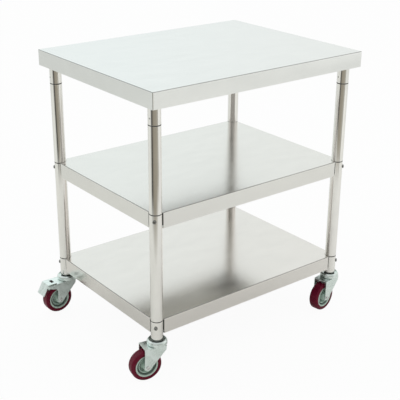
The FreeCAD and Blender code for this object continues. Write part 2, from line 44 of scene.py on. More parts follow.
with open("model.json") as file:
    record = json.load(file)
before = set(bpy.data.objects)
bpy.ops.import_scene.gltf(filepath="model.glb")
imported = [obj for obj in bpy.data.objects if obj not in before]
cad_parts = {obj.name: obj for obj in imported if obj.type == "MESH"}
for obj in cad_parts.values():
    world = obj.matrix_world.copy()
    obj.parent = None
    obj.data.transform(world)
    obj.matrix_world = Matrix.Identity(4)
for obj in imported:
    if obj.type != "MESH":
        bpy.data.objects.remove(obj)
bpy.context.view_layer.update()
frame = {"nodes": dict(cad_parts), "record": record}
NODES = frame["nodes"]
JOINTS = {joint["name"]: joint for joint in frame["record"]["behaviour"]["joints"]}
CORNERS = ("front_left", "front_right", "back_right", "back_left")
BRAKED = ("back_right", "back_left")
UP = Vector((0, 0, 1))

# Directions on the floor, from the cart
TO_CAMERA = (-0.619, -0.786, 0)
TO_RIGHT = (0.786, -0.619, 0)

# Sizes of the CAD part that its boxes don't give
TUBE_WALL = 0.0012
PLUG_GAP = 0.0001
SHELF_SHEET = 0.001
SOCKET_PLATE = 0.003
BOLT_HEAD_RADIUS = 0.006

# Vertices that lie closer than this are one
MERGE = 0.000002
# How far each socket's screws are turned from the way out of the corner, in degrees
SCREW_SWING = 36
# How far smears and the lines of rolling change the roughness of sheet
SMEAR_WEAR = 0.08
LINE_WEAR = 0.05
# Inputs and output of a Mix node that mixes colours
MIX_FACTOR, MIX_LOW, MIX_HIGH, MIX_COLOUR = 0, 6, 7, 2


# Sizes and colours that a user would change


def length(name, words, default):
    return FloatProperty(name=name, description=words, default=default, unit="LENGTH", precision=5)


def colour(name, words, default):
    return FloatVectorProperty(
        name=name, description=words, default=default, subtype="COLOR", min=0, max=1
    )


class LegLook(bpy.types.PropertyGroup):
    groove: length("Groove", "Ease of each end where two leg lengths meet", 0.0007)
    ring_rise: length("Ring", "How much of the plug shows at each joint of a leg", 0.0024)
    ring_stand: length("Ring stand", "How far that ring stands off the tube", 0.0001)
    sides: IntProperty(name="Sides", description="Sides of each round tube", default=96)


class FastenerLook(bpy.types.PropertyGroup):
    head_radius: length("Head radius", "Outer radius of a shelf bolt's head", 0.006)
    head_rise: length("Head rise", "How far a shelf bolt's head stands off the leg", 0.0045)
    socket_radius: length("Socket radius", "Radius of the recess in a bolt's head", 0.0019)
    screw_rise: length("Screw rise", "Height of the socket screws above the top joint", 0.0195)
    screw_radius: length("Screw radius", "Radius of a socket screw", 0.0026)


class WheelLook(bpy.types.PropertyGroup):
    rim_radius: length("Rim radius", "Radius where tread and hub meet", 0.037)
    tread_half: length("Tread half width", "Half the width of the tread", 0.017)
    shoulder: length("Shoulder", "Radius of the rounded shoulders of the tread", 0.0075)
    rim_half: length("Rim half width", "Half the width of the hub's rim", 0.0155)
    web_half: length("Web half width", "Half the thickness of the hub's web", 0.0035)
    boss_radius: length("Boss radius", "Radius of the hub's boss", 0.013)
    boss_half: length("Boss half width", "Half the length of the hub's boss", 0.0225)
    bore: length("Bore", "Radius of the hub's bore", 0.00405)
    fork_half: length("Fork half width", "Half the width over the fork's cheeks", 0.0255)


class CartColours(bpy.types.PropertyGroup):
    sheet: colour("Sheet", "Folded stainless sheet", (0.85, 0.85, 0.835))
    inner: colour("Inner sheet", "Stiffeners and the sheets' dull side", (0.38, 0.38, 0.365))
    # the brackets are near black: painted shade, for the shade in the slits beside the legs
    bracket: colour("Bracket", "Brackets in the corners of the shelves", (0.07, 0.07, 0.065))
    tube: colour("Tube", "Polished leg tube", (0.91, 0.885, 0.85))
    zinc: colour("Zinc", "Plated caster pressings", (0.82, 0.92, 0.865))
    bright: colour("Bright steel", "Nuts and axles", (0.75, 0.75, 0.74))
    # the bolt heads are a darkened steel: painted shade, for the shade and dark reflections round
    # the heads
    bolt: colour("Bolt steel", "Heads of the shelf bolts", (0.30, 0.30, 0.29))
    tread: colour("Tread", "Moulded wheel tread", (0.145, 0.005, 0.023))
    hub: colour("Hub", "Moulded wheel hub", (0.60, 0.745, 0.665))
    black: colour("Black plastic", "Plugs and expanders", (0.012, 0.012, 0.013))


# Materials


class Flow:
    """A value or link in a material, which can be used in sums."""

    def __init__(self, finish, socket):
        self.finish = finish
        self.socket = socket

    def sum(self, operation, *terms):
        return self.finish.node("ShaderNodeMath", {"operation": operation}, *terms)

    def __add__(self, other):
        return self.sum("ADD", self, other)

    def __sub__(self, other):
        return self.sum("SUBTRACT", self, other)

    def __mul__(self, other):
        return self.sum("MULTIPLY", self, other)

    def __truediv__(self, other):
        return self.sum("DIVIDE", self, other)

    def __rsub__(self, other):
        return self.sum("SUBTRACT", other, self)

    def __rtruediv__(self, other):
        return self.sum("DIVIDE", other, self)

    __radd__ = __add__
    __rmul__ = __mul__


class Finish:
    """A node material, or the world, in the making."""

    def __init__(self, owner, output):
        owner.use_nodes = True
        self.tree = owner.node_tree
        self.tree.nodes.clear()
        self.output = self.tree.nodes.new(output)

    def put(self, socket, value):
        """Link a flow to a socket, or set the socket to a plain value."""
        if isinstance(value, Flow):
            self.tree.links.new(value.socket, socket)
        elif isinstance(value, (tuple, list)) and len(value) == 3 and socket.type == "RGBA":
            socket.default_value = (*value, 1)
        else:
            socket.default_value = value

    def make(self, kind, settings, *values, **named):
        """Add a node with its settings, and fill its inputs by order or by name."""
        made = self.tree.nodes.new(kind)
        for key, setting in settings.items():
            if key == "stops":
                self.ramp(made.color_ramp, setting)
            else:
                setattr(made, key, setting)
        for socket, value in zip(made.inputs, values):
            self.put(socket, value)
        for name, value in named.items():
            self.put(made.inputs[name.replace("_", " ")], value)
        return made

    def node(self, kind, settings, *values, out=0, **named):
        """Add a node and go on with one of its outputs."""
        return Flow(self, self.make(kind, settings, *values, **named).outputs[out])

    @staticmethod
    def ramp(ramp, stops):
        while len(ramp.elements) < len(stops):
            ramp.elements.new(0.5)
        for element, (place, tone) in zip(ramp.elements, stops):
            element.position = place
            element.color = (*tone, 1)

    def place(self, stretch=(1, 1, 1)):
        """Object coordinates, stretched along the cart's axes."""
        where = self.node("ShaderNodeTexCoord", {}, out="Object")
        return self.node("ShaderNodeMapping", {}, Vector=where, Scale=stretch)

    def noise(self, where, scale, detail=2):
        return self.node("ShaderNodeTexNoise", {}, Vector=where, Scale=scale, Detail=detail)

    def blend(self, factor, low, high):
        made = self.make("ShaderNodeMix", {"data_type": "RGBA"})
        for slot, value in ((MIX_FACTOR, factor), (MIX_LOW, low), (MIX_HIGH, high)):
            self.put(made.inputs[slot], value)
        return Flow(self, made.outputs[MIX_COLOUR])

    def along(self, where, way):
        """How far a place lies along a direction."""
        return self.node("ShaderNodeVectorMath", {"operation": "DOT_PRODUCT"}, where, way, out=1)

    def bump(self, height, depth, strength):
        return self.node("ShaderNodeBump", {}, Height=height, Distance=depth, Strength=strength)

    def surface(self, **named):
        shader = self.node("ShaderNodeBsdfPrincipled", {}, **named)
        self.tree.links.new(shader.socket, self.output.inputs["Surface"])


def new_finish(name):
    material = bpy.data.materials.new(name)
    return material, Finish(material, "ShaderNodeOutputMaterial")


def shade(base, factor):
    return tuple(min(1, part * factor) for part in base)


def sheet_finish(name, base, rough, grain):
    """Rolled stainless sheet: a fine grain along the cart, broad ripples and faint smears."""
    material, f = new_finish(name)
    smear, lines, relief = sheet_grain(f, grain)
    f.surface(
        Base_Color=f.blend(smear, shade(base, 0.95), shade(base, 1.04)),
        Metallic=1.0,
        Roughness=sheet_roughness(smear, lines, rough),
        Normal=relief,
    )
    return material


def pan_finish(name, node, base, inner, rough, grain):
    """Sheet that is polished outside, with painted shade along its bends, and left dull inside its
    pan.
    """
    material, f = new_finish(name)
    smear, lines, relief = sheet_grain(f, grain)
    half_length, half_depth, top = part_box(node)[1]
    half_sheet, bend, dullness = 0.0005, 0.0016, 0.25
    parts = f.make("ShaderNodeSeparateXYZ", {}, f.place())
    x, y, z = (Flow(f, parts.outputs[axis]) for axis in "XYZ")
    x, y = x.sum("ABSOLUTE", x), y.sum("ABSOLUTE", y)
    under = z.sum("LESS_THAN", z, top - half_sheet)
    within_x = x.sum("LESS_THAN", x, half_length - half_sheet)
    within_y = y.sum("LESS_THAN", y, half_depth - half_sheet)
    inside = within_x * within_y * under
    past_x = x.sum("GREATER_THAN", x, half_length - bend)
    past_y = y.sum("GREATER_THAN", y, half_depth - bend)
    folded = past_x.sum("MAXIMUM", past_x, past_y) * z.sum("GREATER_THAN", z, top - bend)
    outer = f.blend(smear, shade(base, 0.95), shade(base, 1.04))
    # painted shade: the bends are darkened, for the dim room that they reflect
    outer = f.blend(folded * 0.8, outer, shade(base, 0.35))
    pan = f.blend(smear, shade(inner, 0.8), shade(inner, 1.1))
    f.surface(
        Base_Color=f.blend(inside, outer, pan),
        Metallic=1.0,
        Roughness=sheet_roughness(smear, lines, rough) + inside * dullness,
        Normal=relief,
    )
    return material


def sheet_grain(f, grain):
    """Smears, the lines that rolling leaves along the cart, and the relief of lines and ripples."""
    ripple = f.noise(f.place(), 7)
    smear = f.noise(f.place((1, 2.2, 2.2)), 11, 4)
    lines = f.noise(f.place((6, 900, 900)), 1, 3)
    return smear, lines, f.bump(ripple * 0.9 + lines * grain, 0.0004, 0.5)


def sheet_roughness(smear, lines, rough):
    """The roughness of sheet, which smears and lines raise and lower about its average."""
    return (smear - 0.5) * SMEAR_WEAR + (lines - 0.5) * LINE_WEAR + rough


def tube_finish(name, base):
    """Polished round tube, with faint rings from the polishing belt and a few handling marks."""
    material, f = new_finish(name)
    rings = f.noise(f.place((40, 40, 2600)), 1, 2)
    marks = f.noise(f.place((1, 1, 0.4)), 60, 5)
    wave = f.noise(f.place((1, 1, 0.3)), 22)
    f.surface(
        Base_Color=f.blend(marks, shade(base, 0.93), shade(base, 1.05)),
        Metallic=1.0,
        Roughness=marks * 0.06 + rings * 0.04 + 0.045,
        Normal=f.bump(wave + rings * 0.12, 0.0002, 0.4),
    )
    return material


def zinc_finish(name, base):
    """Zinc plated pressing: cloudy grey-green plate with soft swirls."""
    material, f = new_finish(name)
    cloud = f.noise(f.place(), 90, 4)
    swirl = f.node(
        "ShaderNodeTexWave",
        {"wave_type": "RINGS"},
        Vector=f.place(),
        Scale=18.0,
        Distortion=9.0,
        Detail=3.0,
    )
    grit = f.noise(f.place(), 1400, 2)
    f.surface(
        Base_Color=f.blend(cloud * 0.6 + swirl * 0.4, shade(base, 0.84), shade(base, 1.14)),
        Metallic=1.0,
        Roughness=cloud * 0.16 + swirl * 0.06 + 0.2,
        Normal=f.bump(grit + cloud, 0.00006, 0.5),
    )
    return material


def bright_finish(name, base):
    """Turned or cold headed bright steel."""
    material, f = new_finish(name)
    tool = f.noise(f.place(), 2200, 2)
    tarnish = f.noise(f.place(), 240, 3)
    f.surface(
        Base_Color=f.blend(tarnish, shade(base, 0.86), shade(base, 1.1)),
        Metallic=1.0,
        Roughness=tarnish * 0.14 + 0.12,
        Normal=f.bump(tool, 0.00003, 0.5),
    )
    return material


def tread_finish(name, base):
    """Cast polyurethane: a deep glossy colour, dulled by fine scuffs and floor dust."""
    material, f = new_finish(name)
    depth = f.noise(f.place(), 60, 3)
    scuff = f.noise(f.place(), 420, 5)
    dust_stops = [(0.55, (0, 0, 0)), (0.78, (1, 1, 1))]
    dust = f.node("ShaderNodeValToRGB", {"stops": dust_stops}, Fac=scuff)
    clean = f.blend(depth, shade(base, 0.75), shade(base, 1.35))
    dust_colour = (0.42, 0.33, 0.31)
    f.surface(
        Base_Color=f.blend(dust * 0.04, clean, dust_colour),
        Roughness=scuff * 0.16 + 0.2,
        Normal=f.bump(scuff, 0.00006, 0.5),
        Specular_IOR_Level=0.16,
    )
    return material


def moulded_finish(name, base, rough, grain):
    """Moulded plastic with a fine spark-eroded grain and flow marks."""
    material, f = new_finish(name)
    flow = f.noise(f.place((1, 1, 2)), 45, 3)
    pits = f.noise(f.place(), 1800, 2)
    f.surface(
        Base_Color=f.blend(flow, shade(base, 0.85), shade(base, 1.15)),
        Roughness=flow * 0.12 + pits * 0.08 + rough,
        Normal=f.bump(pits, grain, 0.6),
    )
    return material


# Tools for shaping pieces


def object_mode():
    if bpy.context.object and bpy.context.object.mode != "OBJECT":
        bpy.ops.object.mode_set(mode="OBJECT")


def only(item):
    """Make one object the selected and active one."""
    object_mode()
    bpy.ops.object.select_all(action="DESELECT")
    item.select_set(True)
    bpy.context.view_layer.objects.active = item


def clear():
    object_mode()
    bpy.ops.object.select_all(action="DESELECT")


def pick_edges(item, wanted):
    """Select the edges of a mesh in edit mode that a test wants."""
    bpy.ops.mesh.select_all(action="DESELECT")
    bpy.ops.mesh.select_mode(type="EDGE")
    object_mode()
    found = 0
    for edge in item.data.edges:
        edge.select = wanted(edge)
        found += edge.select
    if not found:
        raise RuntimeError(f"nothing picked on {item.name}")
    bpy.ops.object.mode_set(mode="EDIT")


def bevel(item, width, steps=2, angle=30.0):
    only(item)
    round_edges = item.modifiers.new("round_edges", "BEVEL")
    round_edges.width = width
    round_edges.segments = steps
    round_edges.limit_method = "ANGLE"
    round_edges.angle_limit = math.radians(angle)
    bpy.ops.object.modifier_apply(modifier=round_edges.name)


def smooth(item, angle=35.0):
    """Smooth shading up to an angle. Large faces stay flat beside their rounded edges."""
    only(item)
    bpy.ops.object.shade_smooth_by_angle(angle=math.radians(angle))
    flats = item.modifiers.new("flat_faces", "WEIGHTED_NORMAL")
    flats.keep_sharp = True
    bpy.ops.object.modifier_apply(modifier=flats.name)


def set_down(item, place):
    """Move a piece to its place and write the place into its mesh."""
    only(item)
    item.matrix_world = place
    bpy.ops.object.transform_apply(location=True, rotation=True, scale=True)


def tidy_mesh(item):
    """Merge what coincides and turn all faces outwards."""
    only(item)
    bpy.ops.object.mode_set(mode="EDIT")
    bpy.ops.mesh.select_all(action="SELECT")
    bpy.ops.mesh.remove_doubles(threshold=MERGE)
    bpy.ops.mesh.normals_make_consistent(inside=False)
    bpy.ops.object.mode_set(mode="OBJECT")


def turned(name, profile, sides, closed=False):
    """A piece turned about Z. A ring is drawn at the first point of the profile and extruded to
    each next one. A closed profile ends where it began, and another is capped at both ends."""
    clear()
    radius, height = profile[0]
    bpy.ops.mesh.primitive_circle_add(vertices=sides, radius=radius, location=(0, 0, height))
    item = bpy.context.object
    item.name = name
    bpy.ops.object.transform_apply(location=True)
    bpy.ops.object.mode_set(mode="EDIT")
    bpy.ops.mesh.select_all(action="SELECT")
    if not closed:
        bpy.ops.mesh.edge_face_add()
    rings = profile[1:] + profile[:1] if closed else profile[1:]
    for next_radius, next_height in rings:
        rise = {"value": (0, 0, next_height - height)}
        bpy.ops.mesh.extrude_region_move(TRANSFORM_OT_translate=rise)
        spread = next_radius / radius
        bpy.ops.transform.resize(value=(spread, spread, 1), center_override=(0, 0, next_height))
        radius, height = next_radius, next_height
    bpy.ops.object.mode_set(mode="OBJECT")
    tidy_mesh(item)
    return item


def arc_points(centre_radius, centre_height, size, start, end, steps):
    """Points of a rounded edge in a turned profile, from one angle to another in degrees."""
    points = []
    for step in range(steps + 1):
        turn = math.radians(start + (end - start) * step / steps)
        across, rise = size * math.cos(turn), size * math.sin(turn)
        points.append((centre_radius + across, centre_height + rise))
    return points


def copy_of(node, name):
    """A merged copy of a CAD node, with its flat faces whole again."""
    item = own_copy(NODES[node], name)
    item.parent = None
    item.matrix_world = Matrix.Identity(4)
    only(item)
    if item.data.has_custom_normals:
        bpy.ops.mesh.customdata_custom_splitnormals_clear()
    bpy.ops.object.mode_set(mode="EDIT")
    bpy.ops.mesh.select_all(action="SELECT")
    bpy.ops.mesh.remove_doubles(threshold=MERGE)
    bpy.ops.mesh.dissolve_limited(angle_limit=math.radians(1.0))
    bpy.ops.object.mode_set(mode="OBJECT")
    return item


def own_copy(item, name):
    """A copy of a piece, with a mesh of its own."""
    made = item.copy()
    made.data = item.data.copy()
    made.name = name
    bpy.context.scene.collection.objects.link(made)
    return made


def repeat(seed, part, places):
    """Copies of a piece that is modelled once, each with its own mesh, one for each named place."""
    made = {}
    for where, place in places.items():
        made[where] = own_copy(seed, f"{where}_{part}")
        set_down(made[where], place)
    bpy.data.objects.remove(seed)
    return made


def dress(item, material, body, slot, *nodes):
    """Give a finished piece its material and body, in place of CAD nodes. Its slot is not used."""
    item.data.materials.clear()
    item.data.materials.append(material)
    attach(item, body)
    if nodes:
        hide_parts(*nodes)


def coat(node, material):
    """Give a CAD node that stays as it is a material."""
    for slot in NODES[node].material_slots:
        slot.material = material


def caster_place(corner):
    """The frame of a caster: the swivel axis on the floor, with X the way the wheel trails."""
    pin = Vector(JOINTS[corner + "_swivel_turn"]["pos_m"])
    axle = Vector(JOINTS[corner + "_wheel_roll"]["pos_m"])
    back = Vector((axle.x - pin.x, axle.y - pin.y, 0)).normalized()
    turn = Matrix((back, UP.cross(back), UP)).transposed().to_4x4()
    return Matrix.Translation((pin.x, pin.y, 0)) @ turn


def axle_places():
    """The frame of each wheel: its centre, with Z along the axle."""
    found = {}
    for corner in CORNERS:
        pin = caster_place(corner)
        axle = Vector(JOINTS[corner + "_wheel_roll"]["pos_m"])
        turn = Matrix((pin.col[0].to_3d(), -UP, pin.col[1].to_3d())).transposed().to_4x4()
        found[corner] = Matrix.Translation(axle) @ turn
    return found


def leg_axes():
    """Where each leg stands, with the turn that makes X point out of its corner."""
    found = {}
    for corner in CORNERS:
        pin = JOINTS[corner + "_swivel_turn"]["pos_m"]
        found[corner] = (pin[0], pin[1], math.atan2(pin[1] / abs(pin[1]), pin[0] / abs(pin[0])))
    return found


def tube_radius():
    """The outer radius of the legs."""
    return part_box("upper_legs")[1][0] - leg_axes()["front_right"][0]


def upright(item, edge):
    """Whether an edge of a plate runs through its thickness."""
    first, last = (item.data.vertices[i].co for i in edge.vertices)
    return abs(first.z - last.z) > SOCKET_PLATE / 3


# The pieces


class CART_OT_sheets(bpy.types.Operator):
    """Finish the three folded sheets, their stiffeners and the corner brackets"""

    bl_idname = "cart.sheets"
    bl_label = "Sheets"

    # painted shade on each level, by colour, for the dimmer surroundings that the lower shelves
    # reflect, and how bright the inside of its pan is
    levels = {
        "top": ((1, 1, 1), 1.0),
        # the middle pan's inside is twice as bright: painted light, for the light that the bottom
        # shelf throws up under it
        "middle": ((0.97, 0.95, 0.93), 2.0),
        "bottom": ((0.96, 0.92, 0.895), 1.0),
    }

    def execute(self, context):
        colours = context.scene.cart_colours
        inner = sheet_finish("pressed_sheet", colours.inner, rough=0.36, grain=0.5)
        for level, (painted_shade, inside) in self.levels.items():
            node = level + "_shelf"
            # painted shade darkens and warms the sheet of the lower levels
            outer = tuple(part * shade_factor for part, shade_factor in zip(colours.sheet, painted_shade))
            # the inside of the pan, brightened on the middle level as painted light
            pan = shade(colours.inner, inside)
            coat(node, pan_finish(level + "_sheet", node, outer, pan, rough=0.17, grain=0.25))
            coat(level + "_stiffener", inner)
        # near black brackets: painted shade in the slits beside the legs
        bracket = sheet_finish("bracket_steel", colours.bracket, rough=0.5, grain=0.5)
        coat("corner_saddles", bracket)
        return {"FINISHED"}


class CART_OT_legs(bpy.types.Operator):
    """Model the lengths of polished tube that make the legs, and the plugs that join them"""

    bl_idname = "cart.legs"
    bl_label = "Legs"

    def execute(self, context):
        look = context.scene.cart_legs
        colours = context.scene.cart_colours
        steel = tube_finish("polished_tube", colours.tube)
        black = moulded_finish("plug_plastic", colours.black, rough=0.42, grain=0.00004)
        places = {
            corner: Matrix.Translation((x, y, 0)) for corner, (x, y, _) in leg_axes().items()
        }
        nodes = {"upper_leg": "upper_legs", "lower_leg": "lower_legs", "foot": "leg_feet"}
        for part, node in nodes.items():
            for item in repeat(self.tube(node, look), part, places).values():
                dress(item, steel, "cart", "tube_steel", node)
            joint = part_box(node)[1][2] + SHELF_SHEET
            for item in repeat(self.plug(look, joint), part + "_plug", places).values():
                dress(item, black, "cart", "black_plastic", "joint_plugs")
        low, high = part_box("leg_sockets")
        plate_half = high[0] - places["front_right"].translation.x
        plate_low = high[2] - SOCKET_PLATE
        seeds = {
            "socket": self.socket(look, low[2], plate_low),
            "socket_plate": self.plate(plate_half, plate_low, high[2]),
        }
        for part, seed in seeds.items():
            for item in repeat(seed, part, places).values():
                dress(item, steel, "cart", "tube_steel", "leg_sockets")
        return {"FINISHED"}

    @staticmethod
    def tube(node, look):
        """One length of leg, up to the ring of the plug at its upper end."""
        low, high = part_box(node)
        radius = tube_radius()
        bore = radius - TUBE_WALL
        top = high[2] + SHELF_SHEET - look.ring_rise
        profile = [(radius, low[2]), (radius, top), (bore, top), (bore, low[2])]
        item = turned("tube", profile, look.sides, closed=True)
        bevel(item, look.groove, steps=3)
        smooth(item, angle=50)
        return item

    @staticmethod
    def plug(look, joint):
        """The plug in a joint: a ring between the two lengths of tube, on a ribbed body."""
        fit = tube_radius() - TUBE_WALL - PLUG_GAP
        groove, groove_depth = 0.0026, 0.0008
        core, dent = 0.006, fit - groove_depth
        low, high, lead = joint - 0.015, joint + 0.027, 0.001
        rim, ring_low, ease = tube_radius() + look.ring_stand, joint - look.ring_rise, 0.0003
        profile = [(core, low), (dent, low), (fit, low + lead), (fit, ring_low)]
        profile += [(rim - ease, ring_low), (rim, ring_low + ease)]
        profile += [(rim, joint - ease), (rim - ease, joint), (fit, joint)]
        first_groove, pitch = joint + 0.004, 0.005
        for step in range(4):
            start = first_groove + pitch * step
            end = start + groove
            profile += [(fit, start), (dent, start + groove_depth)]
            profile += [(dent, end - groove_depth), (fit, end)]
        profile += [(fit, high - lead), (dent, high), (core, high)]
        item = turned("plug", profile, look.sides)
        smooth(item, angle=30)
        return item

    @staticmethod
    def socket(look, low, plate_low):
        """The stub under the top, with a fillet weld to its plate."""
        radius, weld = tube_radius(), 0.003
        bore = radius - TUBE_WALL
        profile = [(radius, low), (radius, plate_low - weld)]
        profile += arc_points(radius + weld, plate_low - weld, weld, 180, 90, 4)[1:]
        profile += [(bore, plate_low), (bore, low)]
        item = turned("socket", profile, look.sides, closed=True)
        bevel(item, look.groove, steps=3, angle=60)
        smooth(item, angle=50)
        return item

    @staticmethod
    def plate(half, low, high):
        """The square plate of a socket, with rounded corners."""
        corner, ease = 0.006, 0.0004
        clear()
        bpy.ops.mesh.primitive_cube_add(size=1, location=(0, 0, (low + high) / 2))
        item = bpy.context.object
        item.scale = (2 * half, 2 * half, high - low)
        bpy.ops.object.transform_apply(location=True, rotation=True, scale=True)
        bpy.ops.object.mode_set(mode="EDIT")
        pick_edges(item, lambda edge: upright(item, edge))
        bpy.ops.mesh.bevel(offset=corner, segments=4, affect="EDGES")
        bpy.ops.object.mode_set(mode="OBJECT")
        bevel(item, ease)
        smooth(item)
        return item


class CART_OT_fasteners(bpy.types.Operator):
    """Model the round headed shelf bolts and the socket screws, and finish the shelf nuts"""

    bl_idname = "cart.fasteners"
    bl_label = "Fasteners"

    def execute(self, context):
        look = context.scene.cart_fasteners
        colours = context.scene.cart_colours
        steel = bright_finish("bright_steel", colours.bright)
        # the dark steel is painted shade, for the shade round the bolt heads; the socket screws
        # take it too
        dark = bright_finish("bolt_steel", colours.bolt)
        low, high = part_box("shelf_bolts")
        bolts, screws = {}, {}
        levels = {"middle": high[2] - BOLT_HEAD_RADIUS, "bottom": low[2] + BOLT_HEAD_RADIUS}
        for corner, (x, y, out) in leg_axes().items():
            for level, height in levels.items():
                bolts[f"{corner}_{level}"] = self.facing(x, y, height, out)
            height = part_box("leg_sockets")[0][2] + look.screw_rise
            swing = math.radians(-SCREW_SWING if x * y > 0 else SCREW_SWING)
            for side, turn in (("outer", swing), ("inner", swing + math.pi)):
                screws[f"{corner}_{side}"] = self.facing(x, y, height, out + turn)
        for item in repeat(self.bolt(look, tube_radius()), "bolt", bolts).values():
            dress(item, dark, "cart", "bright_fastener", "shelf_bolts")
        for item in repeat(self.screw(look.screw_radius), "socket_screw", screws).values():
            dress(item, dark, "cart", "bright_fastener")
        coat("shelf_nuts", steel)
        return {"FINISHED"}

    @staticmethod
    def facing(x, y, height, turn):
        """Lay a piece that stands along Z on its side, so that it points away from the leg."""
        lay = Matrix.Rotation(turn, 4, "Z") @ Matrix.Rotation(math.radians(90), 4, "Y")
        return Matrix.Translation((x, y, height)) @ lay

    @staticmethod
    def bolt(look, seat):
        """A domed head with a socket, on a plain shank, along Z from the leg's axis."""
        head, crown, shank, tip = look.head_radius, 0.0026, 0.003, -0.0291
        top, sunk, socket_depth = seat + look.head_rise, 0.001, 0.0024
        profile = [(shank, tip), (shank, seat - sunk), (head, seat - sunk)]
        profile += arc_points(head - crown, top - crown, crown, 0, 90, 6)
        profile += [(look.socket_radius, top), (look.socket_radius, top - socket_depth)]
        item = turned("bolt", profile, sides=48)
        smooth(item, angle=40)
        return item

    @staticmethod
    def screw(size):
        """A small screw, nearly flush with the tube, with a round recess."""
        stand, depth, recess = 0.0002, 0.002, 0.0014
        face = tube_radius() + stand
        flat, hole = size * 0.86, size * 0.5
        profile = [(size, face - depth), (size, face - stand), (flat, face)]
        profile += [(hole, face), (hole, face - recess)]
        item = turned("socket_screw", profile, sides=32)
        smooth(item)
        return item


class CART_OT_casters(bpy.types.Operator):
    """Model the caster heads, forks, axles and brake pedals"""

    bl_idname = "cart.casters"
    bl_label = "Casters"

    def execute(self, context):
        colours = context.scene.cart_colours
        zinc = zinc_finish("zinc_plate", colours.zinc)
        steel = bright_finish("axle_steel", colours.bright)
        black = moulded_finish("expander_plastic", colours.black, rough=0.42, grain=0.00004)
        half = context.scene.cart_wheels.fork_half
        under_legs = {corner: caster_place(corner) for corner in CORNERS}
        for item in repeat(self.head(), "head", under_legs).values():
            dress(item, zinc, "cart", "zinc", "caster_heads")
        for corner, item in repeat(self.axle(half), "axle_bolt", axle_places()).items():
            dress(item, steel, corner + "_swivel", "bright_fastener", corner + "_axle")
        for corner in CORNERS:
            fork = self.pressing(corner + "_fork", ease=0.0007)
            dress(fork, zinc, corner + "_swivel", "zinc", corner + "_fork")
            if corner in BRAKED:
                pedal = self.pressing(corner + "_brake_pedal", ease=0.0005)
                dress(pedal, zinc, corner + "_pedal", "zinc", corner + "_brake_pedal")
        coat("caster_expanders", black)
        return {"FINISHED"}

    @staticmethod
    def pressing(node, ease):
        """A pressed part, with the edges of its sheet eased."""
        item = copy_of(node, node + "_pressing")
        bevel(item, ease, angle=40)
        smooth(item)
        return item

    @staticmethod
    def head():
        """The dish over the race, with a rolled lip, the kingpin below and the stem above."""
        pin_flange, pin, flange_low, flange_high = 0.013, 0.009, 0.1077, 0.1107
        profile = [(pin_flange, flange_low), (pin_flange, flange_high), (pin, flange_high)]
        skirt_inside, skirt_outside, under, skirt_low = 0.0274, 0.0315, 0.1173, 0.1146
        ease_inside, ease_outside = 0.0003, 0.0004
        profile += [(pin, under), (skirt_inside, under), (skirt_inside, skirt_low + ease_inside)]
        profile += [(skirt_inside + ease_inside, skirt_low)]
        profile += [(skirt_outside - ease_outside, skirt_low)]
        profile += [(skirt_outside, skirt_low + ease_outside)]
        crown, crown_low = 0.0065, 0.1225
        profile += arc_points(skirt_outside - crown, crown_low, crown, 0, 52, 6)
        lip, lip_radius, lip_height = 0.0008, 0.0267, 0.1292
        profile += arc_points(lip_radius, lip_height, lip, 30, 180, 5)
        well, well_floor, stem, stem_top = 0.0250, 0.1260, 0.006, 0.1660
        profile += [(well + 0.0006, well_floor + 0.0006), (well, well_floor)]
        profile += [(stem, well_floor), (stem, stem_top)]
        item = turned("head", profile, sides=96)
        smooth(item, angle=40)
        return item

    @staticmethod
    def axle(half):
        """A bolt through the fork: a low round head on one side and a nut on the other."""
        shank, head, ease, reach = 0.004, 0.0065, 0.0006, half + 0.004
        profile = [(shank - ease, -reach), (shank, -reach + ease), (shank, half)]
        dome, dome_low = 0.002, half + 0.0015
        profile += [(head - 0.0001, half), (head, dome_low)]
        profile += arc_points(head - dome, dome_low, dome, 10, 80, 4)
        mark, mark_high, mark_low = 0.0022, half + 0.0034, half + 0.0024
        profile += [(mark, mark_high), (mark - 0.0001, mark_low)]
        item = turned("axle", profile, sides=64)
        clear()
        nut_rise, nut_radius, nut_ease = 0.0035, 0.0075, 0.0005
        place = (0, 0, -half - nut_rise / 2)
        bpy.ops.mesh.primitive_cylinder_add(
            vertices=6, radius=nut_radius, depth=nut_rise, location=place
        )
        nut = bpy.context.object
        bpy.ops.object.transform_apply(location=True)
        bevel(nut, nut_ease)
        only(item)
        nut.select_set(True)
        bpy.ops.object.join()
        smooth(item)
        return item


